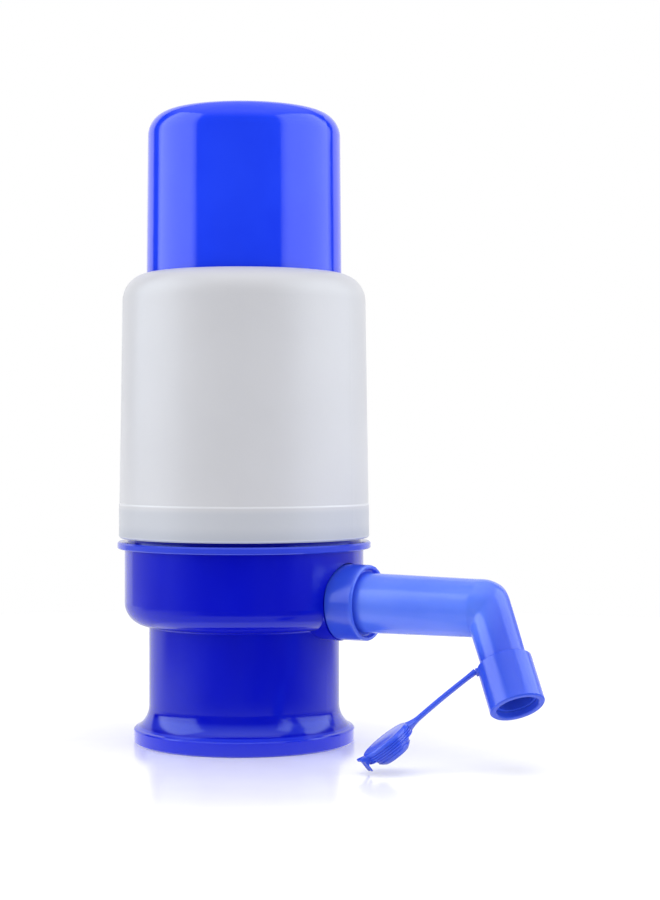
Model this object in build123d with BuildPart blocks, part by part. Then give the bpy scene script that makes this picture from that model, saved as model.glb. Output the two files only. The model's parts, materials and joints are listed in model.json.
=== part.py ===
from build123d import *
from math import cos, hypot, radians, sin, tan
import os

# A press pump for a large water bottle. Millimetres, +Z up. The origin is the centre
# of the foot's bottom face, and the spout's arm points along +X.
# Pressing the button squeezes a bellows. On the way up it draws water from the dip
# tube through the inlet valve, and on the way down it drives the water through the
# outlet valve into the cup, and out of the spout.

# ---------------------------------------------------------------- driving sizes
wall = 2.0

# Foot and neck, which sit over a 55 mm bottle crown
foot_radius = 35.2
foot_rim_height = 4.6
neck_outer_radius = 30.35
neck_bore_radius = 28.0
cove_top = 11.8
socket_ceiling = 36.2
gasket_thickness = 3.0
gasket_pocket_radius = 28.4

# Cup, flange and collar of the pump seat
cup_radius = 38.1
cup_bottom = 37.15
cup_corner = 7.3
cup_floor = 39.0
cup_floor_round = 4.5
cup_bore_radius = 35.6
flange_radius = 40.4
flange_bottom = 61.6
flange_top = 63.8
collar_radius = 37.2
collar_bore_radius = 35.6
collar_top = 74.0
ledge_height = 61.0
ledge_radius = 32.0

# Dip tube socket in the middle of the seat
tube_bore_radius = 5.1
tube_bore_top = 52.2
riser_radius = 7.6
riser_bore_radius = 4.0
riser_top = 56.5

# Outer housing
housing_bottom = 65.0
housing_base_radius = 39.95
housing_top_radius = 38.75
housing_shoulder = 140.2
housing_top = 148.7
housing_corner = 8.6
housing_opening_radius = 31.5
housing_bore_radius = 38.2
housing_lip_radius = 31.9
housing_inner_shoulder = 145.9
housing_ledge_radius = 37.5
housing_ledge_top = 66.7
housing_band_top = 76.0
band_step = 0.15

# Press button
button_top = 200.3
button_radius = 31.1
button_top_radius = 30.65
button_corner = 7.6
button_wall = 1.8
button_roof = 2.2
button_travel = 45.0
guide_radius = 36.3
guide_bore_radius = 34.8
guide_clearance = 0.3
shoulder_bottom = 141.3
shoulder_top = 145.8

# Valve plate, valves, bellows and spring
plate_radius = 35.3
plate_bottom = 61.3
plate_top = 64.5
valve_disc_radius = 6.0
valve_disc_thickness = 1.2
valve_lift = 1.2
valve_seat_gap = 0.05
stem_radius = 1.4
outlet_valve_x = -18.8
port_radius = 1.2
port_circle_radius = 3.8
port_count = 6
bellows_peak_radius = 27.0
bellows_valley_radius = 23.2
bellows_folds = 14
bellows_skin = 1.1
spring_radius = 11.5
spring_wire = 1.8
spring_turns = 9

# Spout: its arm swivels in a boss on the cup
arm_height = 45.8
swivel_at_rest = 23.5
boss_back = 29.2
outlet_port_radius = 6.0
spigot_bore_radius = 9.2
spigot_radius = 9.15
o_ring_groove_start = 31.4
o_ring_groove_width = 1.8
o_ring_groove_radius = 7.9
snap_groove_start = 33.7
snap_groove_width = 1.4
snap_height = 0.3
pocket_floor = 36.0
pocket_radius = 12.1
collar_ring_radius = 11.8
collar_ring_start = 36.15
collar_ring_end = 45.6
collar_recess_radius = 10.5
collar_recess_depth = 1.5
arm_radius_root = 9.25
arm_radius_end = 8.75
bend_x = 85.9
leg_angle = 62.9
leg_length = 33.1
bend_radius = 9.0
leg_radius_top = 6.9
leg_radius = 6.65
arm_bore_radius = 6.4
leg_bore_radius = 5.4

# Tethered cap on the spout's tip
ring_radius = 8.2
ring_length = 15.0
ring_mouth_radius = 6.3
ring_lip = 2.0
strap_root_back = 14.1
strap_root_out = 9.6
strap_angle_at_rest = 26.5
ring_turn = 20.0
strap_thickness = 1.4
strap_width = 2.4
strap_end_length = 7.9
cap_radius = 7.9
cap_rim = 2.8
cap_crown = 0.8
plug_radius = 5.9
plug_depth = 3.0
cap_gap = 0.15
cap_twist_at_rest = -30.0
hinge_gap = 1.35

os.makedirs("parts", exist_ok=True)

# ---------------------------------------------------------------- places
arm_axis = Axis((0, 0, arm_height), (1, 0, 0))
swivel = radians(swivel_at_rest)
# The spout's own plane of symmetry: x along the arm, y up across it
spout_frame = Plane(
    origin=(0, 0, arm_height), x_dir=(1, 0, 0), z_dir=(0, -cos(swivel), sin(swivel))
)
leg_turn = radians(leg_angle)
mouth_x = bend_x + leg_length * cos(leg_turn)
mouth_y = -leg_length * sin(leg_turn)
mouth = spout_frame.from_local_coords(Vector(mouth_x, mouth_y, 0))
leg_tip = spout_frame.from_local_coords(Vector(mouth_x + cos(leg_turn), mouth_y - sin(leg_turn), 0))
# The leg's frame: x out of the mouth, y from the leg's axis towards the foot
leg_frame = Plane(origin=mouth, x_dir=leg_tip - mouth, z_dir=-spout_frame.z_dir)
leg_axis = Axis(mouth, leg_frame.x_dir)
# The tether ring is pushed on the leg a little turned, so the strap's frame is turned too
tether_normal = leg_frame.z_dir.rotate(Axis((0, 0, 0), leg_frame.x_dir), -ring_turn)
tether_frame = Plane(origin=mouth, x_dir=leg_frame.x_dir, z_dir=tether_normal)

# The strap's places in the tether's frame, and the cap's own frame
strap_turn = radians(strap_angle_at_rest)
strap_along = (sin(strap_turn), cos(strap_turn))
cap_middle = cap_gap + cap_rim / 2
fold_closed = (cap_middle, cap_radius + strap_end_length)
strap_length = hypot(fold_closed[0] + strap_root_back, fold_closed[1] - strap_root_out)
strap_root = tether_frame.from_local_coords(Vector(-strap_root_back, strap_root_out, 0))
strap_direction = tether_frame.from_local_coords(
    Vector(strap_along[0] - strap_root_back, strap_along[1] + strap_root_out, 0)
) - strap_root
# The strap's frame: x along the strap, y across its thickness towards the mouth's side
strap_frame = Plane(origin=strap_root, x_dir=strap_direction, z_dir=-tether_frame.z_dir)
fold_point = strap_root + strap_direction * strap_length
cap_centre = fold_point + strap_direction * (strap_end_length + cap_radius)
cap_normal = strap_frame.y_dir.rotate(Axis((0, 0, 0), strap_direction), cap_twist_at_rest)
# The cap's frame: z out of its plug side, x along the strap
cap_frame = Plane(origin=cap_centre, x_dir=strap_direction, z_dir=cap_normal)


# ---------------------------------------------------------------- pump seat
# One moulding: foot, bottle socket, cup, flange, collar and the spout's boss
cove_radius = 8.3
cove_foot = (34.0, 4.9)
neck_chamfer = 0.45
groove_bottom = 53.5
groove_top = 55.6
groove_radius = 6.3
lug_radius = 38.0
lug_root = collar_radius - 0.6
lug_bottom = 67.0
lug_height = 2.0
lug_turn = 22
lug_cos = cos(radians(lug_turn))
lug_sin = sin(radians(lug_turn))
with BuildPart() as pump_seat:
    with BuildSketch(Plane.XZ):
        with BuildLine():
            Polyline(
                (neck_outer_radius, cove_top),
                (neck_outer_radius, cup_bottom - neck_chamfer),
                (cup_radius - cup_corner, cup_bottom),
            )
            RadiusArc(
                (cup_radius - cup_corner, cup_bottom), (cup_radius, cup_bottom + cup_corner), -cup_corner
            )
            Polyline(
                (cup_radius, cup_bottom + cup_corner),
                (cup_radius, flange_bottom),
                (flange_radius - 0.3, flange_bottom),
                (flange_radius, flange_bottom + 0.3),
                (flange_radius, flange_top - 0.5),
                (flange_radius - 0.5, flange_top),
                (collar_radius, flange_top),
                (collar_radius, collar_top),
                (collar_bore_radius, collar_top),
                (collar_bore_radius, ledge_height),
                (ledge_radius, ledge_height),
                (ledge_radius, ledge_height - wall),
                (cup_bore_radius, ledge_height - wall - 3.0),
                (cup_bore_radius, cup_floor + cup_floor_round),
            )
            RadiusArc(
                (cup_bore_radius, cup_floor + cup_floor_round),
                (cup_bore_radius - cup_floor_round, cup_floor),
                cup_floor_round,
            )
            Polyline(
                (cup_bore_radius - cup_floor_round, cup_floor),
                (riser_radius, cup_floor),
                (riser_radius, groove_bottom),
                (groove_radius, groove_bottom),
                (groove_radius, groove_top),
                (riser_radius, groove_top),
                (riser_radius - 0.5, riser_top),
                (riser_bore_radius, riser_top),
                (riser_bore_radius, tube_bore_top),
                (tube_bore_radius, tube_bore_top),
                (tube_bore_radius, socket_ceiling),
                (gasket_pocket_radius, socket_ceiling),
                (gasket_pocket_radius, socket_ceiling - gasket_thickness),
                (neck_bore_radius, socket_ceiling - gasket_thickness),
                (neck_bore_radius, 0),
                (foot_radius - 0.5, 0),
                (foot_radius, 0.5),
                (foot_radius, foot_rim_height - 0.4),
                (foot_radius - 0.4, foot_rim_height),
                cove_foot,
            )
            RadiusArc(cove_foot, (neck_outer_radius, cove_top), cove_radius)
        make_face()
    revolve(axis=Axis.Z)
    # Boss for the spout, which ends at the floor of the collar's pocket in the cup's wall
    with BuildSketch(Plane.YZ.offset(boss_back)):
        with Locations((0, arm_height)):
            Circle(pocket_radius)
    extrude(amount=pocket_floor - boss_back)
    # Pocket for the spout's collar, bore for its spigot, snap groove, and port into the cup
    for start, radius, length in (
        (pocket_floor, pocket_radius, 2 * wall),
        (boss_back + wall / 2, spigot_bore_radius, cup_radius - boss_back),
        (snap_groove_start, spigot_bore_radius + snap_height + 0.2, snap_groove_width),
        (boss_back - wall, outlet_port_radius, 2 * wall),
    ):
        with BuildSketch(Plane.YZ.offset(start)):
            with Locations((0, arm_height)):
                Circle(radius)
        extrude(amount=length, mode=Mode.SUBTRACT)
    # Bayonet lugs that hold the housing
    for turn in range(3):
        with BuildSketch(Plane.XY.offset(lug_bottom).rotated((0, 0, 120 * turn + 60))):
            with BuildLine():
                Line((lug_root, 0), (lug_radius, 0))
                CenterArc((0, 0), lug_radius, 0, lug_turn)
                Line((lug_radius * lug_cos, lug_radius * lug_sin), (lug_root * lug_cos, lug_root * lug_sin))
                CenterArc((0, 0), lug_root, 0, lug_turn)
            make_face()
        extrude(amount=lug_height)

# ---------------------------------------------------------------- static seals
gasket_bore_radius = 21.0
gasket_rib_radius = 24.4
gasket_outer_radius = gasket_pocket_radius - 0.1
with BuildPart() as neck_gasket:
    with BuildSketch(Plane.XZ):
        with BuildLine():
            Polyline(
                (gasket_bore_radius, socket_ceiling),
                (gasket_bore_radius, socket_ceiling - gasket_thickness + 0.6),
                (gasket_bore_radius + 1.0, socket_ceiling - gasket_thickness),
                (gasket_rib_radius - 0.4, socket_ceiling - gasket_thickness),
                (gasket_rib_radius, socket_ceiling - gasket_thickness + 0.5),
                (gasket_rib_radius + 0.4, socket_ceiling - gasket_thickness),
                (gasket_outer_radius, socket_ceiling - gasket_thickness),
                (gasket_outer_radius, socket_ceiling),
                close=True,
            )
        make_face()
    revolve(axis=Axis.Z)

# O-ring under the rim of the valve plate
plate_groove_middle = 33.6
plate_groove_width = 2.4
plate_groove_depth = 1.4
with BuildPart() as plate_o_ring:
    with BuildSketch(Plane.XZ):
        with Locations((plate_groove_middle, ledge_height + 0.85)):
            RectangleRounded(2.1, 1.7, 0.8)
    revolve(axis=Axis.Z)

# O-ring round the riser, inside the valve plate's hub
hub_bore_radius = 7.9
hub_radius = 10.0
hub_bottom = 52.8
with BuildPart() as riser_o_ring:
    with BuildSketch(Plane.XZ):
        with Locations(((groove_radius + hub_bore_radius) / 2, (groove_bottom + groove_top) / 2)):
            RectangleRounded(1.56, 1.9, 0.7)
    revolve(axis=Axis.Z)

# ---------------------------------------------------------------- valve plate
with BuildPart() as valve_plate:
    with BuildSketch(Plane.XZ):
        with BuildLine():
            Polyline(
                (0, plate_bottom),
                (hub_bore_radius, plate_bottom),
                (hub_bore_radius, hub_bottom),
                (hub_radius, hub_bottom),
                (hub_radius, plate_bottom),
                (plate_groove_middle - plate_groove_width / 2, plate_bottom),
                (plate_groove_middle - plate_groove_width / 2, plate_bottom + plate_groove_depth),
                (plate_groove_middle + plate_groove_width / 2, plate_bottom + plate_groove_depth),
                (plate_groove_middle + plate_groove_width / 2, plate_bottom),
                (plate_radius, plate_bottom),
                (plate_radius, plate_top),
                (spring_radius - 1.2, plate_top),
                (spring_radius - 1.2, plate_top + 1.6),
                (spring_radius - 2.6, plate_top + 1.6),
                (spring_radius - 2.6, plate_top),
                (0, plate_top),
                close=True,
            )
        make_face()
    revolve(axis=Axis.Z)
    # Ports: a ring of holes round each valve's stem hole
    for valve_x in (0, outlet_valve_x):
        with Locations((valve_x, 0, plate_top)):
            Hole(stem_radius + 0.2, depth=plate_top - plate_bottom)
            with PolarLocations(port_circle_radius, port_count):
                Hole(port_radius, depth=plate_top - plate_bottom)

# ---------------------------------------------------------------- flap valves
# Half section of either valve: its disc lies on a seat at height 0, its barbed stem below
stem_length = plate_top - plate_bottom + valve_lift + 0.1
barb_height = 1.4
valve_section = (
    (0, valve_seat_gap + valve_disc_thickness),
    (valve_disc_radius - 0.6, valve_seat_gap + valve_disc_thickness),
    (valve_disc_radius, valve_seat_gap + 0.5),
    (valve_disc_radius, valve_seat_gap),
    (stem_radius, valve_seat_gap),
    (stem_radius, -stem_length),
    (stem_radius + 0.9, -stem_length),
    (stem_radius - 0.3, -stem_length - barb_height),
    (0, -stem_length - barb_height),
)
with BuildPart() as inlet_valve:
    with BuildSketch(Plane((0, 0, plate_top), x_dir=(1, 0, 0), z_dir=(0, -1, 0))):
        with BuildLine():
            Polyline(*valve_section, close=True)
        make_face()
    revolve(axis=Axis.Z)

# The outlet valve is the same flap hung upside down under the plate
with BuildPart() as outlet_valve:
    with BuildSketch(Plane((outlet_valve_x, 0, plate_bottom), x_dir=(1, 0, 0), z_dir=(0, 1, 0))):
        with BuildLine():
            Polyline(*valve_section, close=True)
        make_face()
    revolve(axis=Axis((outlet_valve_x, 0, 0), (0, 0, 1)))

# ---------------------------------------------------------------- bellows and its ring
bellows_flange_radius = 34.0
bellows_flange_top = 66.0
bellows_roof_top = button_top - button_roof
fold_pitch = (bellows_roof_top - 2.0 - bellows_flange_top - 2.0) / bellows_folds
fold_outside = [(bellows_valley_radius, bellows_flange_top)]
for fold in range(bellows_folds):
    fold_start = bellows_flange_top + 2.0 + fold * fold_pitch
    fold_outside.append((bellows_valley_radius, fold_start))
    fold_outside.append((bellows_peak_radius - 0.3, fold_start + fold_pitch / 2 - 0.3))
    fold_outside.append((bellows_peak_radius, fold_start + fold_pitch / 2))
    fold_outside.append((bellows_peak_radius - 0.3, fold_start + fold_pitch / 2 + 0.3))
fold_outside.append((bellows_valley_radius, bellows_roof_top - 2.0))
fold_inside = [(r - bellows_skin, z) for r, z in reversed(fold_outside[1:-1])]
with BuildPart() as bellows:
    with BuildSketch(Plane.XZ):
        with BuildLine():
            Polyline(
                (bellows_valley_radius - bellows_skin, plate_top),
                (bellows_flange_radius, plate_top),
                (bellows_flange_radius, bellows_flange_top),
                *fold_outside,
                (bellows_valley_radius, bellows_roof_top),
                (0, bellows_roof_top),
                (0, bellows_roof_top - bellows_skin),
                (bellows_valley_radius - bellows_skin, bellows_roof_top - bellows_skin),
                *fold_inside,
                close=True,
            )
        make_face()
    revolve(axis=Axis.Z)

ring_top = 70.5
clamp_ring_bore_radius = 28.8
with BuildPart() as bellows_ring:
    with BuildSketch(Plane.XY.offset(bellows_flange_top)):
        Circle(plate_radius)
        Circle(clamp_ring_bore_radius, mode=Mode.SUBTRACT)
    extrude(amount=ring_top - bellows_flange_top)
    chamfer(bellows_ring.edges().filter_by(GeomType.CIRCLE).group_by(Axis.Z)[-1], 0.5)
    # Spanner notches
    with PolarLocations(plate_radius, 6):
        with Locations((0, 0, ring_top)):
            Box(5.0, 5.0, 3.0, mode=Mode.SUBTRACT)

# ---------------------------------------------------------------- spring and its seat
seat_disc_top = bellows_roof_top - bellows_skin
seat_disc_thickness = 1.6
spring_bottom = plate_top + 0.1
spring_top = seat_disc_top - seat_disc_thickness - 0.1
spring_pitch = (spring_top - spring_bottom - spring_wire) / spring_turns
with BuildPart() as return_spring:
    with BuildLine() as coil:
        Helix(
            pitch=spring_pitch,
            height=spring_pitch * spring_turns,
            radius=spring_radius,
            center=(0, 0, spring_bottom + spring_wire / 2),
        )
    with BuildSketch(Plane(origin=coil.line @ 0, z_dir=coil.line % 0)):
        Circle(spring_wire / 2)
    sweep(is_frenet=True)

with BuildPart() as spring_seat:
    with BuildSketch(Plane.XZ):
        with BuildLine():
            Polyline(
                (0, seat_disc_top),
                (20.5, seat_disc_top),
                (20.5, seat_disc_top - seat_disc_thickness),
                (spring_radius - 1.2, seat_disc_top - seat_disc_thickness),
                (spring_radius - 1.6, seat_disc_top - seat_disc_thickness - 4.0),
                (spring_radius - 3.2, seat_disc_top - seat_disc_thickness - 4.0),
                (spring_radius - 3.2, seat_disc_top - seat_disc_thickness),
                (0, seat_disc_top - seat_disc_thickness),
                close=True,
            )
        make_face()
    revolve(axis=Axis.Z)

# ---------------------------------------------------------------- press button
guide_bottom = collar_top + button_travel + guide_clearance
rib_drop = 8.0
rib_thickness = 1.6
with BuildPart() as press_button:
    with BuildSketch(Plane.XZ):
        with BuildLine():
            Polyline(
                (0, button_top - button_roof),
                (button_top_radius - button_wall - 3.5, button_top - button_roof),
                (button_top_radius - button_wall, button_top - button_roof - 3.5),
                (button_radius - button_wall, shoulder_bottom),
                (button_radius, shoulder_bottom),
                (button_radius, shoulder_top - wall),
                (guide_bore_radius - 1.9, shoulder_top - wall),
                (guide_bore_radius, shoulder_bottom),
                (guide_bore_radius, guide_bottom),
                (guide_radius, guide_bottom),
                (guide_radius, shoulder_bottom + 0.6),
                (guide_radius - 2.7, shoulder_top),
                (button_radius, shoulder_top),
                (button_top_radius, button_top - button_corner),
            )
            RadiusArc(
                (button_top_radius, button_top - button_corner),
                (button_top_radius - button_corner, button_top),
                -button_corner,
            )
            Polyline(
                (button_top_radius - button_corner, button_top),
                (0, button_top),
                (0, button_top - button_roof),
            )
        make_face()
    revolve(axis=Axis.Z)
    # Ribs that stiffen the guide skirt
    for turn in range(6):
        with BuildSketch(Plane.XZ.rotated((0, 0, 60 * turn))):
            with BuildLine():
                Polyline(
                    (button_radius - 0.2, shoulder_top - 1.8),
                    (button_radius - 0.2, shoulder_bottom + 0.1),
                    (guide_bore_radius + 0.1, shoulder_bottom - rib_drop),
                    (guide_bore_radius + 0.1, shoulder_bottom + 0.2),
                    (guide_bore_radius - 1.8, shoulder_top - 1.8),
                    close=True,
                )
            make_face()
        extrude(amount=rib_thickness / 2, both=True)

# ---------------------------------------------------------------- outer housing
with BuildPart() as outer_housing:
    with BuildSketch(Plane.XZ):
        with BuildLine():
            Polyline(
                (housing_base_radius - 0.5, housing_bottom),
                (housing_base_radius, housing_bottom + 0.5),
                (housing_base_radius - 0.05, housing_band_top - 0.4),
                (housing_base_radius - band_step - 0.05, housing_band_top),
                (housing_top_radius, housing_shoulder),
            )
            RadiusArc(
                (housing_top_radius, housing_shoulder),
                (housing_lip_radius, housing_top - 0.06),
                -housing_corner,
            )
            Polyline(
                (housing_lip_radius, housing_top - 0.06),
                (housing_opening_radius, housing_top - 0.5),
                (housing_opening_radius, housing_inner_shoulder),
                (housing_opening_radius + 3.0, housing_inner_shoulder),
                (housing_bore_radius - 1.3, shoulder_bottom + 0.7),
                (housing_bore_radius, housing_band_top),
                (housing_bore_radius, housing_ledge_top),
                (housing_ledge_radius, housing_ledge_top),
                (housing_ledge_radius, housing_bottom + 0.3),
                (housing_ledge_radius + 0.3, housing_bottom),
                (housing_base_radius - 0.5, housing_bottom),
            )
        make_face()
    revolve(axis=Axis.Z)
    # Gaps in the bottom ledge that let the seat's bayonet lugs in
    with PolarLocations(housing_ledge_radius + 0.4, 3, start_angle=30):
        with Locations((0, 0, housing_bottom)):
            Box(1.0, 18.0, 4.0, mode=Mode.SUBTRACT)

# ---------------------------------------------------------------- spout
spigot_end = boss_back + wall / 2 + 0.2
bend_setback = bend_radius * tan(leg_turn / 2)
bend_start = Vector(bend_x - bend_setback, 0, 0)
bend_steps = 4
leg_top = -(leg_length - bend_setback)
leg_end = -ring_lip - 0.1


def bend_sections(start_radius, end_radius):
    """Circles square to the bend's path, evenly spaced from its start to its end."""
    circles = []
    for step in range(bend_steps + 1):
        share = step / bend_steps
        turned = leg_turn * share
        spot = bend_start + Vector(bend_radius * sin(turned), -bend_radius * (1 - cos(turned)), 0)
        centre = spout_frame.from_local_coords(spot)
        ahead = spout_frame.from_local_coords(spot + Vector(cos(turned), -sin(turned), 0)) - centre
        with BuildSketch(Plane(origin=centre, x_dir=spout_frame.z_dir, z_dir=ahead)) as circle:
            Circle(start_radius + (end_radius - start_radius) * share)
        circles.append(circle.sketch.face())
    return circles


with BuildPart() as spout:
    with BuildSketch(spout_frame):
        with BuildLine():
            Polyline(
                (spigot_end, 0),
                (spigot_end, spigot_radius - 0.4),
                (spigot_end + 0.4, spigot_radius),
                (o_ring_groove_start, spigot_radius),
                (o_ring_groove_start, o_ring_groove_radius),
                (o_ring_groove_start + o_ring_groove_width, o_ring_groove_radius),
                (o_ring_groove_start + o_ring_groove_width, spigot_radius),
                (snap_groove_start + 0.2, spigot_radius),
                (snap_groove_start + 0.3, spigot_radius + snap_height),
                (snap_groove_start + 0.7, spigot_radius + snap_height),
                (snap_groove_start + 1.1, spigot_radius),
                (collar_ring_start, spigot_radius),
                (collar_ring_start, collar_ring_radius - 0.2),
                (collar_ring_start + 0.2, collar_ring_radius),
                (collar_ring_end - 0.6, collar_ring_radius - 0.1),
                (collar_ring_end, collar_ring_radius - 0.7),
                (collar_ring_end, collar_recess_radius),
                (collar_ring_end - collar_recess_depth, collar_recess_radius),
                (collar_ring_end - collar_recess_depth, arm_radius_root),
                (bend_start.X, arm_radius_end),
                (bend_start.X, 0),
                close=True,
            )
        make_face()
    revolve(axis=arm_axis)
    with BuildSketch(leg_frame):
        with BuildLine():
            Polyline(
                (leg_top, 0), (leg_top, leg_radius_top), (leg_end, leg_radius), (leg_end, 0), close=True
            )
        make_face()
    revolve(axis=leg_axis)
    loft(bend_sections(arm_radius_end, leg_radius_top))
    # The water way
    with BuildSketch(spout_frame):
        with BuildLine():
            Polyline(
                (spigot_end - 1.0, 0),
                (spigot_end - 1.0, arm_bore_radius),
                (bend_start.X, arm_bore_radius),
                (bend_start.X, 0),
                close=True,
            )
        make_face()
    revolve(axis=arm_axis, mode=Mode.SUBTRACT)
    with BuildSketch(leg_frame):
        with BuildLine():
            Polyline((leg_top, 0), (leg_top, leg_bore_radius), (0, leg_bore_radius), (0, 0), close=True)
        make_face()
    revolve(axis=leg_axis, mode=Mode.SUBTRACT)
    loft(bend_sections(arm_bore_radius, leg_bore_radius), mode=Mode.SUBTRACT)

o_ring_x = o_ring_groove_start + o_ring_groove_width / 2
with BuildPart() as spout_o_ring:
    with BuildSketch(spout_frame):
        with Locations((o_ring_x, (o_ring_groove_radius + spigot_bore_radius) / 2)):
            RectangleRounded(1.6, 1.2, 0.55)
    revolve(axis=arm_axis)

# ---------------------------------------------------------------- tether ring, strap, cap
with BuildPart() as cap_ring:
    with BuildSketch(leg_frame):
        with BuildLine():
            Polyline(
                (-ring_length, leg_radius_top + 0.05),
                (-ring_length, ring_radius - 0.3),
                (-ring_length + 0.3, ring_radius),
                (-0.4, ring_radius),
                (0, ring_radius - 0.4),
                (0, ring_mouth_radius + 0.3),
                (-0.3, ring_mouth_radius),
                (-ring_lip, ring_mouth_radius),
                (-ring_lip, leg_radius + 0.05),
                close=True,
            )
        make_face()
    revolve(axis=leg_axis)
    # Lug that the strap grows from
    with BuildSketch(tether_frame):
        with Locations((-strap_root_back, ring_radius + 0.2)):
            Rectangle(strap_thickness + 0.2, 0.8)
    extrude(amount=strap_width / 2, both=True)


def strap_bar(start, end):
    """A length of strap between two places along it, rounded at its ends."""
    half = strap_thickness / 2
    with BuildPart() as bar:
        with BuildSketch(strap_frame):
            with BuildLine():
                Line((start, -half), (end, -half))
                ThreePointArc((end, -half), (end + half, 0), (end, half))
                Line((end, half), (start, half))
                ThreePointArc((start, half), (start - half, 0), (start, -half))
            make_face()
        extrude(amount=strap_width / 2, both=True)
    return bar


strap_inner = strap_bar(hinge_gap, strap_length - hinge_gap)
strap_outer = strap_bar(strap_length + hinge_gap, strap_length + strap_end_length - 1.0)

# Half section plane of the cap: x along the strap, y out of the plug's side
cap_section = Plane(origin=cap_centre, x_dir=cap_frame.x_dir, z_dir=-cap_frame.y_dir)
prong_inner_side = 0.9
prong_width = 1.8
prong_tip = cap_radius + 1.9
hook_inner_face = ring_radius + 0.3
hook_end = 2.9
with BuildPart() as spout_cap:
    with BuildSketch(cap_section):
        with BuildLine():
            Polyline(
                (0, -cap_rim / 2 - cap_crown),
                (cap_radius - 2.3, -cap_rim / 2 - cap_crown),
                (cap_radius - 0.5, -cap_rim / 2 - 0.5),
                (cap_radius - 0.2, -cap_rim / 2),
                (cap_radius, -cap_rim / 2 + 0.3),
                (cap_radius, cap_rim / 2 - 0.3),
                (cap_radius - 0.3, cap_rim / 2),
                (plug_radius, cap_rim / 2),
                (plug_radius - 0.4, cap_rim / 2 + 1.5),
                (plug_radius - 1.6, cap_rim / 2 + plug_depth - 0.4),
                (plug_radius - 2.6, cap_rim / 2 + plug_depth),
                (0, cap_rim / 2 + plug_depth),
                close=True,
            )
        make_face()
    revolve(axis=Axis(cap_centre, cap_frame.z_dir))
    # Forked thumb tab opposite the strap, with a lip on each prong that hooks over the ring
    for side in (prong_inner_side, -prong_inner_side - prong_width):
        with BuildSketch(cap_section.offset(side)):
            with BuildLine():
                Polyline(
                    (cap_radius - 1.5, -cap_rim / 2 + 0.2),
                    (prong_tip - 0.3, -cap_rim / 2 - 0.7),
                    (prong_tip, -cap_rim / 2 + 0.1),
                    (hook_inner_face + 0.6, -cap_rim / 2 + 0.8),
                    (hook_inner_face + 0.6, hook_end - 0.4),
                    (hook_inner_face + 0.3, hook_end),
                    (hook_inner_face, hook_end - 0.4),
                    (hook_inner_face, 0.6),
                    (cap_radius - 1.5, 0.6),
                    close=True,
                )
            make_face()
        extrude(amount=prong_width)

# ---------------------------------------------------------------- files
sub_parts = {
    "pump_seat": pump_seat,
    "neck_gasket": neck_gasket,
    "plate_o_ring": plate_o_ring,
    "riser_o_ring": riser_o_ring,
    "valve_plate": valve_plate,
    "inlet_valve": inlet_valve,
    "outlet_valve": outlet_valve,
    "bellows": bellows,
    "bellows_ring": bellows_ring,
    "return_spring": return_spring,
    "spring_seat": spring_seat,
    "press_button": press_button,
    "outer_housing": outer_housing,
    "spout": spout,
    "spout_o_ring": spout_o_ring,
    "cap_ring": cap_ring,
    "strap_inner": strap_inner,
    "strap_outer": strap_outer,
    "spout_cap": spout_cap,
}
for name, sub_part in sub_parts.items():
    sub_part.part.label = name
    export_step(sub_part.part, f"parts/{name}.step")
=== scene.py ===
import json
import math

import bpy
from mathutils import Matrix, Vector


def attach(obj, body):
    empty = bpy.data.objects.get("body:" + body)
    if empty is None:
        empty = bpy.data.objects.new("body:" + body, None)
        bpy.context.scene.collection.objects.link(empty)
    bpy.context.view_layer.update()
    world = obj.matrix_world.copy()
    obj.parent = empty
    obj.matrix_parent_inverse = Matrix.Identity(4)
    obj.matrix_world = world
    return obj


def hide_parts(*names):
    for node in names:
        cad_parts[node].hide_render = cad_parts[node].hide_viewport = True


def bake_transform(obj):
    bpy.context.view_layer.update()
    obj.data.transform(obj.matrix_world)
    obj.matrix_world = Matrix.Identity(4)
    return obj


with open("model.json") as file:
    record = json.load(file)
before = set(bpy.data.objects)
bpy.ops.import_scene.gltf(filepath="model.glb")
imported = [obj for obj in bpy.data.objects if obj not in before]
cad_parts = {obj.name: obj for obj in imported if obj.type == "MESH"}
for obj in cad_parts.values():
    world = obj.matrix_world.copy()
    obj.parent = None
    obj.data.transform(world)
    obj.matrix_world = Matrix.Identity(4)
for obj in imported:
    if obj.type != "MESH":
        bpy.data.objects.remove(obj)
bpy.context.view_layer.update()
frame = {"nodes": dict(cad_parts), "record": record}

MM = 0.001
TURN = 2 * math.pi
UP = Vector((0, 0, 1))
WHITE = (1.0, 1.0, 1.0)


# ---------------------------------------------------------------- camera
# It looks almost level at the pump's middle, from 30 degrees round from its front to its arm
VIEW_TURN = math.radians(30.0)
toward = Vector((math.sin(VIEW_TURN), -math.cos(VIEW_TURN), 0.0))
right = Vector((math.cos(VIEW_TURN), math.sin(VIEW_TURN), 0.0))
CAMERA_DISTANCE = 608 * MM
CAMERA_RIGHT = 27.4 * MM
CAMERA_HEIGHT = 96 * MM
CAMERA_PITCH = math.radians(0.3)
SENSOR_HEIGHT = 36.0
FOCAL_LENGTH = 76.0

camera_data = bpy.data.cameras.new("camera")
camera_data.sensor_fit = "VERTICAL"
camera_data.sensor_height = SENSOR_HEIGHT
camera_data.lens = FOCAL_LENGTH
camera_data.clip_start = 0.01
camera = bpy.data.objects.new("camera", camera_data)
bpy.context.scene.collection.objects.link(camera)
bpy.context.scene.camera = camera
look = (-toward * math.cos(CAMERA_PITCH) - UP * math.sin(CAMERA_PITCH)).normalized()
camera_up = right.cross(look).normalized()
camera_axes = Matrix((right, camera_up, -look)).transposed()
camera.matrix_world = Matrix.Translation(
    toward * CAMERA_DISTANCE + right * CAMERA_RIGHT + UP * CAMERA_HEIGHT
) @ camera_axes.to_4x4()

bpy.context.scene.view_settings.view_transform = "Standard"


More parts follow.
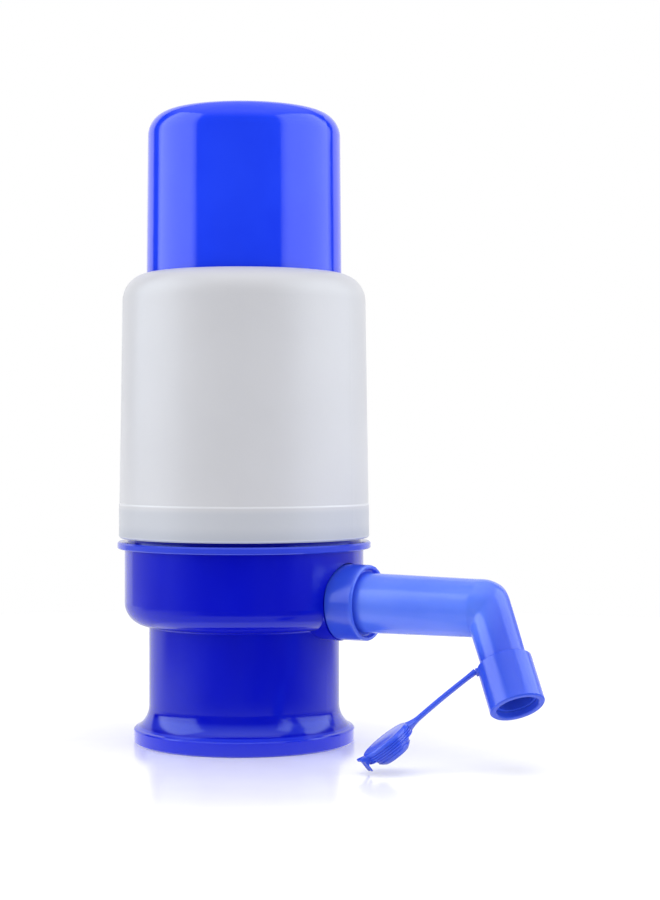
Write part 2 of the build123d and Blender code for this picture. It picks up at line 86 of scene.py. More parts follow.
# ---------------------------------------------------------------- node helpers
class Tree:
    """A short way to write a node tree."""

    def __init__(self, owner):
        owner.use_nodes = True
        self.tree = owner.node_tree
        self.tree.nodes.clear()

    def node(self, kind, settings=None, **inputs):
        made = self.tree.nodes.new(kind)
        for name, value in (settings or {}).items():
            setattr(made, name, value)
        for name, value in inputs.items():
            self.feed(made, name.replace("_", " "), value)
        return made

    def feed(self, made, name, value):
        """Link or set an input, which is named or numbered by name."""
        socket = made.inputs[int(name)] if name.isdigit() else made.inputs[name]
        if isinstance(value, bpy.types.NodeSocket):
            self.tree.links.new(value, socket)
        elif isinstance(value, (tuple, list)) and len(value) == 3 and socket.type == "RGBA":
            socket.default_value = (*value, 1.0)
        else:
            socket.default_value = value

    def math(self, operation, a, b=0.0, clamp=False):
        made = self.node("ShaderNodeMath", {"operation": operation, "use_clamp": clamp})
        self.feed(made, "0", a)
        self.feed(made, "1", b)
        return made.outputs[0]

    def add(self, a, b):
        return self.math("ADD", a, b)

    def times(self, a, b):
        return self.math("MULTIPLY", a, b)

    def smooth(self, value, low, high, to_low=0.0, to_high=1.0):
        """A smooth step from to_low, where value is low, to to_high, where it is high."""
        made = self.node(
            "ShaderNodeMapRange", {"interpolation_type": "SMOOTHSTEP"},
            Value=value, From_Min=low, From_Max=high, To_Min=to_low, To_Max=to_high,
        )
        return made.outputs[0]

    def noise(self, where, scale, detail=2.0, stretch=None):
        if stretch:
            where = self.node("ShaderNodeMapping", Vector=where, Scale=stretch).outputs[0]
        return self.node(
            "ShaderNodeTexNoise", Vector=where, Scale=scale, Detail=detail
        ).outputs["Fac"]

    def dot(self, where, way):
        """How far a point is along a direction."""
        made = self.node("ShaderNodeVectorMath", {"operation": "DOT_PRODUCT"})
        self.feed(made, "0", where)
        self.feed(made, "1", way)
        return made.outputs["Value"]

    def parts(self, where):
        """The outputs X, Y and Z of a point."""
        return self.node("ShaderNodeSeparateXYZ", Vector=where).outputs

    def mix(self, share, a, b):
        """A colour between a and b."""
        made = self.node("ShaderNodeMix", {"data_type": "RGBA"})
        self.feed(made, "Factor", share)
        for name, value in (("6", a), ("7", b)):
            self.feed(made, name, value)
        return made.outputs[2]

    def mix_shader(self, share, a, b):
        made = self.node("ShaderNodeMixShader", Fac=share)
        self.feed(made, "1", a.outputs[0])
        self.feed(made, "2", b.outputs[0])
        return made

    def by_ray(self, plain, mirrored, seen):
        """A shader that differs for light on other things, reflections and the camera."""
        path = self.node("ShaderNodeLightPath").outputs
        gloss = self.math("MAXIMUM", path["Is Glossy Ray"], path["Is Transmission Ray"])
        return self.mix_shader(path["Is Camera Ray"], self.mix_shader(gloss, plain, mirrored), seen)

    def output(self, shader, kind="ShaderNodeOutputMaterial"):
        self.tree.links.new(shader.outputs[0], self.node(kind).inputs["Surface"])


def new_object(name, data):
    """An object in the scene."""
    made = bpy.data.objects.new(name, data)
    bpy.context.scene.collection.objects.link(made)
    return made


# ---------------------------------------------------------------- materials
# Noise scales, in waves per metre
CLOUD_SCALE = 28.0
FLOW_SCALE = 90.0
SCRATCH_SCALE = 1400.0
GRAIN_SCALE = 2600.0
SCRATCH_STRETCH = (1.0, 1.0, 0.05)


def moulded(
    name, deep, pale, roughness, peel=0.00002, peel_scale=260.0, scratch=0.05,
    streak=(1.0, 1.0, 0.12), subsurface=0.0, subsurface_radius=None, specular=0.5,
    tint=WHITE, metallic=0.0, grain=0.0, painted_light=None,
):
    """Moulded plastic or rubber, and the spring's drawn wire.

    It has cloudy colour from deep to pale, faint flow streaks in its gloss, orange peel of depth
    peel, fine scratches and, where grain is set, a fine grain. Its zone paints light and shade
    into the colour by place.
    """
    material = bpy.data.materials.new(name)
    t = Tree(material)
    place = t.node("ShaderNodeTexCoord").outputs["Object"]
    cloud = t.noise(place, CLOUD_SCALE, 3.0)
    colour = t.mix(t.smooth(cloud, 0.3, 0.7), deep, pale)
    flow = t.noise(place, FLOW_SCALE, 4.0, stretch=streak)
    fine = t.noise(place, SCRATCH_SCALE, 3.0, stretch=SCRATCH_STRETCH)
    rough = t.add(
        t.smooth(flow, 0.35, 0.65, roughness - scratch / 2, roughness + scratch / 2),
        t.smooth(fine, 0.62, 0.78, 0.0, scratch),
    )
    # The zone paints highlights, glow and shade into the colour
    if painted_light:
        colour = painted_light(t, place, colour)
    wave = t.add(t.noise(place, peel_scale), t.times(fine, 0.05))
    if grain:
        wave = t.add(wave, t.times(t.noise(place, GRAIN_SCALE), grain))
    bump = t.node("ShaderNodeBump", Height=wave, Distance=peel, Strength=1.0)
    shader = t.node(
        "ShaderNodeBsdfPrincipled", Base_Color=colour, Roughness=rough, Normal=bump.outputs[0],
        Metallic=metallic, Specular_Tint=tint, Specular_IOR_Level=specular,
    )
    if subsurface:
        t.feed(shader, "Subsurface Weight", subsurface)
        t.feed(shader, "Subsurface Radius", subsurface_radius)
        t.feed(shader, "Subsurface Scale", 1.0)
    t.output(shader)
    return material


def housing_painted_light(t, place, colour):
    """Painted light on the housing: its bottom band is painted a shade darker as shade, darkest
    near its foot, under a painted highlight line, and its bottom edge has a painted highlight.
    """
    height = t.parts(place)["Z"]
    band_shade = t.smooth(height, 75.5 * MM, 73.5 * MM)
    bottom_shade = t.smooth(height, 70.0 * MM, 66.0 * MM, 0.0, 0.6)
    edge_highlight = t.smooth(height, 65.9 * MM, 65.5 * MM, 0.0, 0.8)
    line_highlight = t.times(
        t.smooth(height, 75.2 * MM, 75.6 * MM), t.smooth(height, 76.2 * MM, 75.8 * MM)
    )
    # Painted shade on the band and near its foot, then painted highlights on the line and the
    # bottom edge
    colour = t.mix(band_shade, colour, (0.53, 0.55, 0.60))
    colour = t.mix(bottom_shade, colour, (0.42, 0.45, 0.52))
    colour = t.mix(edge_highlight, colour, (0.60, 0.63, 0.72))
    return t.mix(line_highlight, colour, (0.68, 0.69, 0.73))


def seat_painted_highlights(t, place, colour):
    """The seat's flange, and its foot's flare and rim, are thinner than its walls and are painted
    brighter, as painted highlights for the light that these edges catch.
    """
    spot = t.parts(place)
    height = spot["Z"]
    off_axis = t.math(
        "SQRT", t.add(t.times(spot["X"], spot["X"]), t.times(spot["Y"], spot["Y"]))
    )
    flange_highlight = t.times(
        t.smooth(off_axis, 38.4 * MM, 39.0 * MM), t.smooth(height, 61.2 * MM, 61.6 * MM)
    )
    flare_highlight = t.times(
        t.smooth(height, 5.6 * MM, 6.6 * MM), t.smooth(height, 9.8 * MM, 8.4 * MM, 0.0, 0.8)
    )
    rim_top_highlight = t.smooth(height, 5.6 * MM, 5.2 * MM)
    rim_face_highlight = t.smooth(height, 4.5 * MM, 4.1 * MM)
    # Painted highlights: the flange, the flare, the rim's top and the rim's face are painted
    # brighter blues
    colour = t.mix(flange_highlight, colour, (0.030, 0.055, 0.66))
    colour = t.mix(flare_highlight, colour, (0.018, 0.032, 0.62))
    colour = t.mix(rim_top_highlight, colour, (0.022, 0.042, 0.74))
    return t.mix(rim_face_highlight, colour, (0.001, 0.009, 0.72))


def arm_painted_glow(t, place, colour):
    """The spout's arm is thinner than its collar, leg and cap and lets more light through; that
    light is painted in as a painted glow, a paler colour on the arm.
    """
    spot = t.parts(place)
    start = t.smooth(spot["X"], 43.5 * MM, 48.0 * MM)
    end = t.smooth(spot["X"], 96.0 * MM, 84.0 * MM)
    above = t.smooth(spot["Z"], 29.0 * MM, 37.0 * MM)
    share = t.times(t.times(start, end), above)
    cloud = t.smooth(t.noise(place, 40.0, 3.0), 0.3, 0.7)
    # Painted glow: the arm's colour is mixed towards paler blues
    return t.mix(share, colour, t.mix(cloud, (0.090, 0.198, 0.95), (0.115, 0.232, 0.99)))


# One material for each of the record's slots
finish = {
    "button_blue": moulded(
        "button_plastic", (0.010, 0.046, 0.90), (0.014, 0.058, 0.96), 0.10,
        peel=0.000012, scratch=0.03,
    ),
    "housing_white": moulded(
        "housing_plastic", (0.585, 0.591, 0.625), (0.605, 0.611, 0.645), 0.36,
        peel_scale=700.0, scratch=0.06, grain=0.5, painted_light=housing_painted_light,
    ),
    "seat_blue": moulded(
        "seat_plastic", (0.0004, 0.0025, 0.51), (0.0006, 0.0045, 0.57), 0.14,
        peel=0.00003, peel_scale=150.0, tint=(0.8, 0.95, 1.0), painted_light=seat_painted_highlights,
    ),
    "spout_blue": moulded(
        "spout_plastic", (0.034, 0.090, 0.74), (0.044, 0.110, 0.80), 0.20,
        peel=0.00003, peel_scale=220.0, scratch=0.06, streak=(0.15, 1.0, 1.0),
        subsurface=0.2, subsurface_radius=(0.0006, 0.001, 0.003), specular=0.68, painted_light=arm_painted_glow,
    ),
    "grey_rubber": moulded(
        "seal_rubber", (0.045, 0.048, 0.055), (0.07, 0.072, 0.08), 0.62,
        peel=0.00004, peel_scale=900.0, scratch=0.12, grain=0.6,
    ),
    "valve_silicone": moulded(
        "silicone", (0.66, 0.67, 0.66), (0.74, 0.74, 0.72), 0.38,
        scratch=0.08, subsurface=0.5, subsurface_radius=(0.002, 0.002, 0.0018),
    ),
    "natural_plastic": moulded(
        "natural_polypropylene", (0.66, 0.66, 0.62), (0.74, 0.74, 0.70), 0.34,
        peel=0.00003, scratch=0.08, subsurface=0.25, subsurface_radius=(0.003, 0.003, 0.0026),
    ),
    "bellows_plastic": moulded(
        "milky_polyethylene", (0.70, 0.72, 0.74), (0.78, 0.79, 0.80), 0.40,
        peel=0.00004, scratch=0.08, streak=(1.0, 1.0, 0.5),
        subsurface=0.4, subsurface_radius=(0.003, 0.003, 0.003),
    ),
    "spring_steel": moulded(
        "drawn_wire", (0.50, 0.50, 0.49), (0.66, 0.66, 0.64), 0.24,
        peel=0.00001, peel_scale=2200.0, scratch=0.12, metallic=1.0,
    ),
}
for row in frame["record"]["subparts"]:
    for held in frame["nodes"][row["node"]].material_slots:
        held.material = finish[row["material_slot"]]


# ---------------------------------------------------------------- mesh helpers
SHARP_ANGLE = 35.0


def shade(mesh, sharp=SHARP_ANGLE):
    """Make a mesh smooth but for edges sharper than that angle, in degrees."""
    mesh.shade_smooth()
    mesh.set_sharp_from_angle(angle=math.radians(sharp))


def add_mesh(name, points, faces, slot, sharp=SHARP_ANGLE):
    """A mesh object from points in millimetres, with its slot's material."""
    mesh = bpy.data.meshes.new(name)
    mesh.from_pydata([Vector(p) * MM for p in points], [], faces)
    mesh.validate()
    shade(mesh, sharp)
    mesh.materials.append(finish[slot])
    made = new_object(name, mesh)
    return made


def skin_rings(rings, closed=False):
    """Points and faces of a skin over rings, with equal counts of points or one, for a pole."""
    points, starts = [], []
    for ring in rings:
        starts.append(len(points))
        points.extend(ring)
    faces = []
    pairs = list(zip(range(len(rings)), range(1, len(rings))))
    if closed:
        pairs.append((len(rings) - 1, 0))
    for low, high in pairs:
        count = max(len(rings[low]), len(rings[high]))
        for k in range(count):
            n = (k + 1) % count
            a, b = starts[low], starts[high]
            if len(rings[low]) == 1:
                faces.append((a, b + n, b + k))
            elif len(rings[high]) == 1:
                faces.append((a + k, a + n, b))
            else:
                faces.append((a + k, a + n, b + n, b + k))
    return points, faces


def with_poles(rings, way=Vector((0, 0, 0))):
    """Rings closed at both ends by a pole, which stands off the end ring's centre by way."""
    first, last = rings[0], rings[-1]
    return [
        [sum(first, Vector()) / len(first) - way], *rings, [sum(last, Vector()) / len(last) + way],
    ]


def lathe(profile, place, segments):
    """Points and faces of a profile of (radius, height) turned about place's z axis."""
    rings = []
    for radius, height in profile:
        count = 1 if radius == 0 else segments
        rings.append([
            place @ Vector((
                radius * math.cos(TURN * k / segments), radius * math.sin(TURN * k / segments),
                height,
            ))
            for k in range(count)
        ])
    return skin_rings(rings)


def arc(centre, radius, start, end, steps):
    """Points on an arc, angles in degrees."""
    angles = [math.radians(start + (end - start) * k / steps) for k in range(steps + 1)]
    return [
        (centre[0] + radius * math.cos(angle), centre[1] + radius * math.sin(angle))
        for angle in angles
    ]


def placed(origin, x, z):
    """A matrix with that origin, x axis and z axis, in millimetres."""
    x, z = Vector(x).normalized(), Vector(z).normalized()
    y = z.cross(x)
    return Matrix.Translation(Vector(origin)) @ Matrix((x, y, z)).transposed().to_4x4()


def smoothstep(share):
    return share * share * (3 - 2 * share)


# ---------------------------------------------------------------- spout
# The spout's own frame: x along the arm, y up in the plane of its bend
SWIVEL = math.radians(23.5)
ARM_HEIGHT = 45.8
arm_x = Vector((1, 0, 0))
arm_y = Vector((0, math.sin(SWIVEL), math.cos(SWIVEL)))
arm_z = Vector((0, -math.cos(SWIVEL), math.sin(SWIVEL)))
arm_origin = Vector((0, 0, ARM_HEIGHT))
BEND_X = 85.9
LEG_TURN = math.radians(62.9)
LEG_LENGTH = 33.1
LEG_TIP = LEG_LENGTH - 2.1
ARM_BORE, LEG_BORE = 6.4, 5.4
ARM_START, ARM_END = 9.25, 8.75
TAPER_START, TAPER_END = 44.1, 80.0
LEG_TOP, LEG_END = 7.0, 6.65
OUTER_ROUND = 8.5
# Where the arm comes out of its collar, and where the collar's back corner starts
ARM_ROOT = 46.4
COLLAR_BACK = 36.6
ARM_STEPS, BEND_STEPS, BEND_END_STEPS, LEG_STEPS = 14, 16, 5, 12
RING_POINTS = 160
# How far the mould's parting line stands out, at it and one point beside it
RIDGE = 0.13
RIDGE_SHAPE = {0: 1.0, 1: 0.35}
leg_way = (math.cos(LEG_TURN), -math.sin(LEG_TURN))
leg_out = (math.sin(LEG_TURN), math.cos(LEG_TURN))


def arm_radius(x):
    """The arm's radius at x along it."""
    share = min(max((x - TAPER_START) / (TAPER_END - TAPER_START), 0.0), 1.0)
    return ARM_START + (ARM_END - ARM_START) * share


def leg_point(along, out):
    """A point along the leg from the bend, and out from its axis to the bend's outer side."""
    return (
        BEND_X + leg_way[0] * along + leg_out[0] * out, leg_way[1] * along + leg_out[1] * out,
    )


corner_along = (ARM_END - LEG_TOP * leg_out[1]) / -leg_way[1]
inner_corner = leg_point(corner_along, -LEG_TOP)
outer_corner = leg_point(-corner_along, LEG_TOP)
round_reach = OUTER_ROUND * math.tan(LEG_TURN / 2)
round_centre = (outer_corner[0] - round_reach, ARM_END - OUTER_ROUND)

# The spigot in the seat's boss with its O-ring groove and snap ridge, and then the collar, as
# (x, radius). The collar's end face has a groove in it, round the arm.
spigot = [
    (30.4, 8.75), (30.8, 9.15), (31.4, 9.15), (31.4, 7.9), (33.2, 7.9), (33.2, 9.15),
    (33.9, 9.15), (34.0, 9.45), (34.4, 9.45), (34.8, 9.15), (36.15, 9.15), (36.15, 11.35),
]
collar = spigot + arc((COLLAR_BACK, 11.35), 0.45, 180, 90, 4)
collar += [(40.0, 11.8), (44.7, 11.72)] + arc((45.0, 11.12), 0.6, 88, 0, 6)
collar += [
    (45.6, 10.8), (45.45, 10.6), (44.6, 10.5), (44.25, 10.3), (44.12, 9.9), (44.3, 9.45),
    (44.8, 9.26),
]
arm = [(ARM_ROOT, arm_radius(ARM_ROOT))]
for k in range(1, ARM_STEPS + 1):
    x = ARM_ROOT + (inner_corner[0] - ARM_ROOT) * k / ARM_STEPS
    arm.append((x, arm_radius(x)))

# Sections of the outside, each (outer point, inner point, half width, bore radius)
sections = [((x, radius), (x, -radius), radius, ARM_BORE) for x, radius in collar + arm]
# Round the bend they fan out from its inner corner
fan = [
    (inner_corner[0] + (round_centre[0] - inner_corner[0]) * k / 2, ARM_END) for k in (1, 2)
]
fan += arc(round_centre, OUTER_ROUND, 90, 90 - math.degrees(LEG_TURN), BEND_STEPS)[1:]
last_out = -corner_along + round_reach
fan += [
    leg_point(last_out + (corner_along - last_out) * k / BEND_END_STEPS, LEG_TOP)
    for k in range(1, BEND_END_STEPS + 1)
]
for k, point in enumerate(fan):
    share = smoothstep((k + 1) / len(fan))
    sections.append((
        point, inner_corner, ARM_END + (LEG_TOP - ARM_END) * share,
        ARM_BORE + (LEG_BORE - ARM_BORE) * share,
    ))
for k in range(1, LEG_STEPS + 1):
    along = corner_along + (LEG_TIP - corner_along) * k / LEG_STEPS
    radius = LEG_TOP + (LEG_END - LEG_TOP) * k / LEG_STEPS
    sections.append((leg_point(along, radius), leg_point(along, -radius), radius, LEG_BORE))


def spout_ring(outer, inner, half_width, trim, ridge):
    """One ring of the spout, between two points of its plane of symmetry.

    trim is how far it lies inside that outline, and ridge is the parting line's height.
    """
    middle = ((outer[0] + inner[0]) / 2, (outer[1] + inner[1]) / 2)
    reach = (outer[0] - middle[0], outer[1] - middle[1])
    half = math.hypot(*reach)
    way = (reach[0] / half, reach[1] / half)
    ring = []
    for k in range(RING_POINTS):
        turned = TURN * k / RING_POINTS
        from_line = min(k % (RING_POINTS // 2), (-k) % (RING_POINTS // 2))
        lift = ridge * RIDGE_SHAPE.get(from_line, 0.0)
        across = (half - trim + lift) * math.cos(turned)
        beside = (half_width - trim + lift) * math.sin(turned)
        ring.append(
            arm_origin + arm_x * (middle[0] + way[0] * across)
            + arm_y * (middle[1] + way[1] * across) + arm_z * beside
        )
    return ring


spout_rings = [
    spout_ring(outer, inner, half_width, 0.0, RIDGE if outer[0] > COLLAR_BACK else 0.0)
    for outer, inner, half_width, bore in sections
]
spout_rings += [
    spout_ring(outer, inner, half_width, half_width - bore, 0.0)
    for outer, inner, half_width, bore in reversed(sections)
]
spout = add_mesh("spout_tube", *skin_rings(spout_rings, closed=True), "spout_blue", sharp=50.0)
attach(spout, "spout_body")
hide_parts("spout")


# ---------------------------------------------------------------- strap
# The strap's root on the ring, its run, and the way across its width, from part.py
strap_root = Vector((86.5247, -11.3942, 27.8294))
strap_way = Vector((-0.545373, -0.591846, -0.593538)).normalized()
strap_across = Vector((0.304471, -0.799627, 0.517585)).normalized()
strap_thin = strap_across.cross(strap_way).normalized()
STRAP_FOLD = 16.833
STRAP_END = 7.9
STRAP_STEPS, STRAP_POINTS = 56, 24
# The strap reaches a little into the lug and the cap
ROOT_OVERLAP, CAP_OVERLAP = 0.75, 0.5
HALF_THIN, HALF_WIDE = 0.6, 1.1
# Over these lengths it swells towards the lug and the cap
ROOT_SWELL, CAP_SWELL = 3.0, 4.0
# A slight set in the strap, from hanging
STRAP_SAG = 0.25
POLE_REACH = 0.2

strap_end = STRAP_FOLD + STRAP_END
strap_rings = []
for k in range(STRAP_STEPS + 1):
    along = -ROOT_OVERLAP + (strap_end + ROOT_OVERLAP + CAP_OVERLAP) * (k / STRAP_STEPS)
    near_root = max(0.0, 1 - along / ROOT_SWELL)
    near_cap = max(0.0, (along - (strap_end - CAP_SWELL)) / CAP_SWELL)
    half_thin = HALF_THIN + 0.1 * near_root ** 2 + 0.45 * near_cap ** 1.6
    half_wide = HALF_WIDE + 0.05 * near_root ** 2 + 1.1 * near_cap ** 2
    sway = STRAP_SAG * math.sin(math.pi * min(max(along / strap_end, 0.0), 1.0))
    ring = []
    for j in range(STRAP_POINTS):
        turned = TURN * j / STRAP_POINTS
        c, s = math.cos(turned), math.sin(turned)
        square = 1.0 / (abs(c) ** 4 + abs(s) ** 4) ** 0.25
        ring.append(
            strap_root + strap_way * along + strap_thin * (half_thin * square * c - sway)
            + strap_across * half_wide * square * s
        )
    strap_rings.append(ring)
strap_rings = with_poles(strap_rings, strap_way * POLE_REACH)
strap = add_mesh("tether_strap", *skin_rings(strap_rings), "spout_blue")
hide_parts("strap_inner", "strap_outer")
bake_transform(strap)


# ---------------------------------------------------------------- cap
CAP_RADIUS, CAP_THICKNESS, PLUG_RADIUS, PLUG_DEPTH = 7.9, 2.8, 5.9, 3.0
CAP_TWIST = math.radians(-30.0)
CAP_SEGMENTS = 128
GROOVE_HEIGHTS, GROOVE_DEPTH = (-0.55, 0.15, 0.85), 0.28
cap_centre = Vector((68.7273, -30.7081, 8.46027))
cap_normal = Matrix.Rotation(CAP_TWIST, 3, strap_way) @ strap_thin
cap_place = placed(cap_centre, strap_way, cap_normal)
rim = CAP_THICKNESS / 2
# The crown, the grooved rim, and then the plug with a bead round it
cap_profile = [(0, -rim - 0.8), (3.2, -rim - 0.78), (5.4, -rim - 0.62)]
cap_profile += arc((7.0, -rim + 0.35), 0.9, -110, 0, 6)
for groove in GROOVE_HEIGHTS:
    cap_profile += [
        (CAP_RADIUS, groove - 0.22), (CAP_RADIUS - GROOVE_DEPTH, groove - 0.1),
        (CAP_RADIUS - GROOVE_DEPTH, groove + 0.1), (CAP_RADIUS, groove + 0.22),
    ]
cap_profile += [
    (CAP_RADIUS - 0.05, rim - 0.15), (CAP_RADIUS - 0.25, rim), (PLUG_RADIUS + 0.2, rim),
    (PLUG_RADIUS - 0.1, rim + 0.15), (PLUG_RADIUS, rim + 0.7), (PLUG_RADIUS - 0.3, rim + 1.2),
    (PLUG_RADIUS - 0.25, rim + 1.6), (PLUG_RADIUS - 1.0, rim + PLUG_DEPTH - 0.7),
    (PLUG_RADIUS - 1.8, rim + PLUG_DEPTH - 0.15), (PLUG_RADIUS - 2.8, rim + PLUG_DEPTH),
    (0, rim + PLUG_DEPTH),
]
cap = add_mesh("tethered_cap", *lathe(cap_profile, cap_place, CAP_SEGMENTS), "spout_blue")

# A prong's outline in the cap's frame, along the strap's line and out of the plug's side: the
# tab's underside, its rounded tip, the lip that hooks over the ring, and its root
PRONG_OUTLINE = [
    (6.6, -1.3), (7.9, -1.62),
    (9.2, -1.98), (9.5, -2.0), (9.72, -1.85), (9.78, -1.55), (9.7, -1.2), (9.35, -0.8),
    (9.12, -0.5), (9.08, 0.4), (9.06, 1.9), (9.02, 2.55), (8.92, 2.8), (8.78, 2.88),
    (8.62, 2.75), (8.54, 2.4), (8.54, 1.0), (8.3, 0.62), (7.6, 0.55), (6.6, 0.55),
]
# Its sections across the cap, each (distance from the middle, how far its edge is rounded off)
PRONG_SECTIONS = (
    (0.9, 0.25), (0.97, 0.08), (1.15, 0.0), (2.45, 0.0), (2.63, 0.08), (2.7, 0.25),
)


def prong(side):
    """Points and faces of one prong of the cap's forked thumb tab."""
    count = len(PRONG_OUTLINE)
    rings = []
    for across, inset in PRONG_SECTIONS:
        ring = []
        for k, spot in enumerate(PRONG_OUTLINE):
            before, after = PRONG_OUTLINE[k - 1], PRONG_OUTLINE[(k + 1) % count]
            run = (after[0] - before[0], after[1] - before[1])
            length = math.hypot(*run)
            ring.append(cap_place @ Vector((
                spot[0] - run[1] / length * inset, side * across, spot[1] + run[0] / length * inset,
            )))
        rings.append(ring)
    points, faces = skin_rings(rings)
    faces += [tuple(reversed(range(count))), tuple(range(len(points) - count, len(points)))]
    if side < 0:
        faces = [face[::-1] for face in faces]
    return points, faces


def joined(base, *others):
    """base with the others united with it, as one closed mesh."""
    for other in others:
        union = base.modifiers.new("union", "BOOLEAN")
        union.operation = "UNION"
        union.solver = "EXACT"
        union.object = other
    bpy.context.view_layer.update()
    depsgraph = bpy.context.evaluated_depsgraph_get()
    united = bpy.data.meshes.new_from_object(base.evaluated_get(depsgraph))
    base.modifiers.clear()
    base.data = united
    for other in others:
        bpy.data.objects.remove(other)
    shade(united)
    return base


prongs = [add_mesh(f"prong_{n}", *prong(side), "spout_blue") for n, side in enumerate((-1, 1))]
cap = joined(cap, *prongs)
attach(cap, "cap")
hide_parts("spout_cap")


# ---------------------------------------------------------------- bellows, inside the button
PLATE_TOP, FLANGE_TOP, ROOF_TOP = 64.5, 66.0, 198.1
FLANGE_RADIUS = 34.0
BELLOWS_SKIN = 1.1
PEAK, VALLEY = 27.0, 23.2
FOLDS, STEPS_PER_FOLD = 14, 12
# Plain lengths below the first fold and above the last
PLAIN_END = 2.0
BELLOWS_SEGMENTS = 96

pitch = (ROOF_TOP - PLAIN_END - FLANGE_TOP - PLAIN_END) / FOLDS
outside = [
    (FLANGE_RADIUS, PLATE_TOP), (FLANGE_RADIUS, FLANGE_TOP - 0.3),
    (FLANGE_RADIUS - 0.3, FLANGE_TOP), (VALLEY + 0.8, FLANGE_TOP),
]
folds_inside = []
for k in range(FOLDS * STEPS_PER_FOLD + 1):
    height = FLANGE_TOP + PLAIN_END + pitch * k / STEPS_PER_FOLD
    swing = 0.5 - 0.5 * math.cos(TURN * k / STEPS_PER_FOLD)
    radius = VALLEY + (PEAK - VALLEY) * swing ** 1.3
    outside.append((radius, height))
    folds_inside.append((radius - BELLOWS_SKIN, height))
outside += [(VALLEY, ROOF_TOP - 0.6), (VALLEY - 0.6, ROOF_TOP), (0, ROOF_TOP)]
inside = [
    (0, ROOF_TOP - BELLOWS_SKIN), (VALLEY - BELLOWS_SKIN - 0.5, ROOF_TOP - BELLOWS_SKIN),
    *reversed(folds_inside),
    (VALLEY - BELLOWS_SKIN, FLANGE_TOP), (VALLEY - BELLOWS_SKIN, PLATE_TOP),
]
points, faces = lathe(outside, Matrix.Identity(4), BELLOWS_SEGMENTS)
inner_points, inner_faces = lathe(inside, Matrix.Identity(4), BELLOWS_SEGMENTS)
offset = len(points)
faces += [tuple(i + offset for i in face) for face in inner_faces]
# The two skins meet at the flange's foot
foot_start = offset + len(inner_points) - BELLOWS_SEGMENTS
for k in range(BELLOWS_SEGMENTS):
    n = (k + 1) % BELLOWS_SEGMENTS
    faces.append((k, foot_start + k, foot_start + n, n))
bellows = add_mesh("bellows_skin", points + inner_points, faces, "bellows_plastic", sharp=60.0)
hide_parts("bellows")
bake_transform(bellows)


# ---------------------------------------------------------------- return spring
SPRING_RADIUS, WIRE_RADIUS, SPRING_TURNS = 11.5, 0.9, 9
SPRING_BOTTOM, SPRING_TOP = 64.6, 195.3
STEPS_PER_TURN, WIRE_POINTS = 64, 16
# The end turns lie closer together, as a ground spring's do
END_CLOSING = 0.030

spring_low, spring_high = SPRING_BOTTOM + WIRE_RADIUS, SPRING_TOP - WIRE_RADIUS
coil_rings = []
coil_steps = STEPS_PER_TURN * SPRING_TURNS
for k in range(coil_steps + 1):
    turned = TURN * SPRING_TURNS * k / coil_steps
    share = k / coil_steps
    eased = share + END_CLOSING * math.sin(TURN * share)
    centre = Vector((
        SPRING_RADIUS * math.cos(turned), SPRING_RADIUS * math.sin(turned),
        spring_low + (spring_high - spring_low) * eased,
    ))
    out = Vector((math.cos(turned), math.sin(turned), 0))
    coil_rings.append([
        centre + out * WIRE_RADIUS * math.cos(TURN * j / WIRE_POINTS)
        + UP * WIRE_RADIUS * math.sin(TURN * j / WIRE_POINTS)
        for j in range(WIRE_POINTS)
    ])
spring = add_mesh("return_coil", *skin_rings(with_poles(coil_rings)), "spring_steel")
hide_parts("return_spring")
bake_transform(spring)


# ---------------------------------------------------------------- light
# Lengths in metres from here on
PANEL_LOW, PANEL_HIGH, PANEL_DISTANCE = 0.09, 1.5, 1.1
PANEL_COLOUR = (0.87, 0.98, 1.1)


def panel(name, turn_from, turn_to, strength):
    """An upright soft panel between two turns from the camera's side, seen only in reflections."""
    middle = math.radians((turn_from + turn_to) / 2)
    half = PANEL_DISTANCE * math.tan(math.radians(abs(turn_to - turn_from) / 2))
    way = toward * math.cos(middle) + right * math.sin(middle)
    side = UP.cross(way)
    base = way * PANEL_DISTANCE
    mesh = bpy.data.meshes.new(name)
    mesh.from_pydata([
        base - side * half + UP * PANEL_LOW, base + side * half + UP * PANEL_LOW,
        base + side * half + UP * PANEL_HIGH, base - side * half + UP * PANEL_HIGH,
    ], [], [(0, 1, 2, 3)])
    made = new_object(name, mesh)
    material = bpy.data.materials.new(name)
    t = Tree(material)
    off_middle = t.math("ABSOLUTE", t.dot(t.node("ShaderNodeTexCoord").outputs["Object"], side))
    # It fades to half at its upright edges
    inner = t.smooth(off_middle, half * 0.98, half * 0.72)
    level = t.times(t.add(t.times(inner, 0.5), 0.5), strength)
    t.output(t.node("ShaderNodeEmission", Color=PANEL_COLOUR, Strength=level))
    mesh.materials.append(material)
    made.visible_camera = False
    made.visible_diffuse = False
    made.visible_shadow = False


def lamp(name, place, size, power):
    """A soft lamp aimed at the pump's middle, which lights it and isn't seen in reflections."""
    data = bpy.data.lights.new(name, "AREA")
    data.shape = "SQUARE"
    data.size = size
    data.energy = power
    made = new_object(name, data)
    made.location = place
    made.rotation_mode = "QUATERNION"
    made.rotation_quaternion = (UP * 0.1 - place).to_track_quat("-Z", "Y")
    made.visible_camera = False
    made.visible_glossy = False


panel("left_panel", -55, -119, 2.5)
panel("right_panel", 46, 127, 2.3)
for name, side in (("left_lamp", -right), ("right_lamp", right)):
    lamp(name, (side * 0.98 + toward * 0.2) * 1.2 + UP * 0.45, size=0.9, power=5.4)
lamp("top_lamp", toward * 0.15 + UP * 1.3, size=1.0, power=7.2)

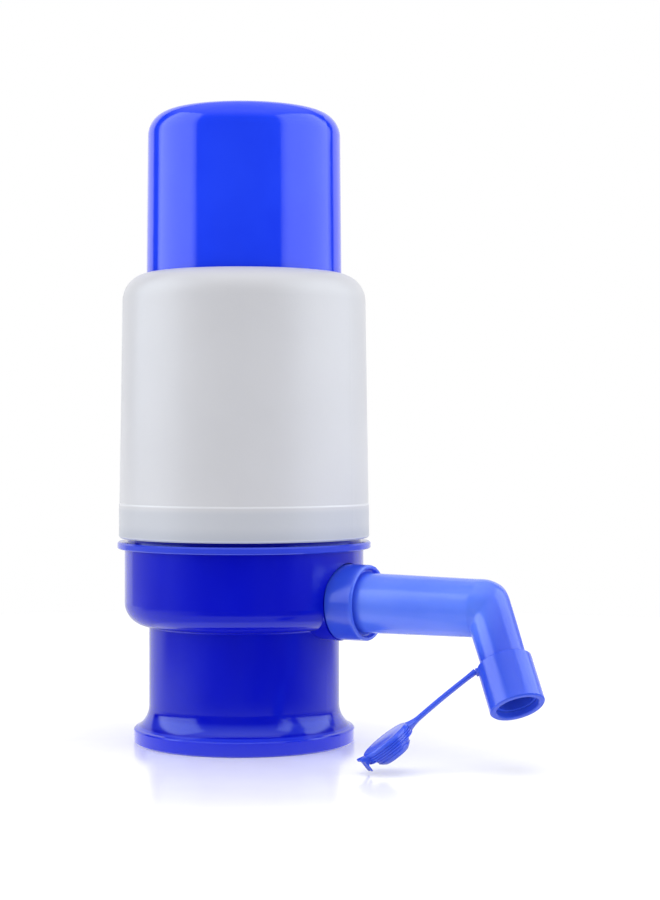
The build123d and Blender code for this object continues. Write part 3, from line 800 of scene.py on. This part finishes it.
# The world lights evenly and is white to the camera. Reflections see a white backdrop behind the
# pump, a bright ceiling, and a dim glow below the horizon.
world = bpy.data.worlds.new("studio")
bpy.context.scene.world = world
t = Tree(world)
direction = t.node("ShaderNodeTexCoord").outputs["Generated"]
front = t.dot(direction, toward)
height = t.parts(direction)["Z"]
backdrop = t.times(t.smooth(front, -0.66, -0.72), 0.92)
overhead = t.smooth(height, 0.5, 0.95, 0.0, 0.9)
low_side = t.times(t.smooth(front, 0.9, -0.5, 0.0, 0.5), t.smooth(height, 0.02, -0.02))
room = t.math("ADD", backdrop, t.add(t.add(overhead, 0.02), low_side), clamp=True)
t.output(
    t.by_ray(*(
        t.node("ShaderNodeBackground", Color=WHITE, Strength=strength)
        for strength in (0.65, room, 1.0)
    )),
    "ShaderNodeOutputWorld",
)


# ---------------------------------------------------------------- table
# A round glossy white table, a hair below the foot
TABLE_RADIUS, TABLE_SEGMENTS = 0.46, 128
TABLE_DROP = 0.00005
mesh = bpy.data.meshes.new("table")
mesh.from_pydata([
    (TABLE_RADIUS * math.cos(TURN * k / TABLE_SEGMENTS),
     TABLE_RADIUS * math.sin(TURN * k / TABLE_SEGMENTS), 0.0)
    for k in range(TABLE_SEGMENTS)
], [], [tuple(range(TABLE_SEGMENTS))])
table = new_object("table", mesh)
table.location.z = -TABLE_DROP
material = bpy.data.materials.new("table_white")
t = Tree(material)
place = t.node("ShaderNodeTexCoord").outputs["Object"]
reach = t.node("ShaderNodeVectorMath", {"operation": "LENGTH"}, Vector=place).outputs["Value"]

# Painted reflection: what polished plastic mirrors of the table is a set glow, not the table's own
# shade: bright at the sides and behind, darker in front, and brightest close round the foot
bearing = t.math("ARCTAN2", t.dot(place, right), t.dot(place, toward))
off_front = t.math("ABSOLUTE", t.math("SUBTRACT", bearing, math.radians(15.0)))
beside = t.smooth(off_front, math.radians(35.0), math.radians(95.0))
behind = t.smooth(off_front, math.radians(110.0), math.radians(130.0))
side_glow = t.smooth(reach, 0.38, 0.12, 0.3, 0.85)
front_glow = t.smooth(reach, 0.127, 0.112, 0.0, 0.55)
foot_glow = t.smooth(reach, 0.075, 0.055, 0.0, 1.25)
glow = t.add(t.times(beside, side_glow), t.times(t.math("SUBTRACT", 1.0, beside), front_glow))
glow = t.add(t.times(glow, t.math("SUBTRACT", 1.0, behind)), t.times(behind, 0.9))
glow = t.math("MAXIMUM", glow, foot_glow)

# The table is polished where the pump stands, and matt further out
body = t.node(
    "ShaderNodeBsdfPrincipled", Base_Color=(0.93, 0.93, 0.935),
    Roughness=t.smooth(t.noise(place, 60.0, 3.0), 0.3, 0.7, 0.13, 0.17),
    Specular_IOR_Level=t.smooth(reach, 0.125, 0.045, 0.0, 0.6),
)
seen = t.node("ShaderNodeAddShader")
t.feed(seen, "0", body.outputs[0])
t.feed(seen, "1", t.node("ShaderNodeEmission", Color=WHITE, Strength=0.12).outputs[0])
mirrored = t.node("ShaderNodeEmission", Color=WHITE, Strength=glow)
t.output(t.by_ray(body, mirrored, seen))
mesh.materials.append(material)
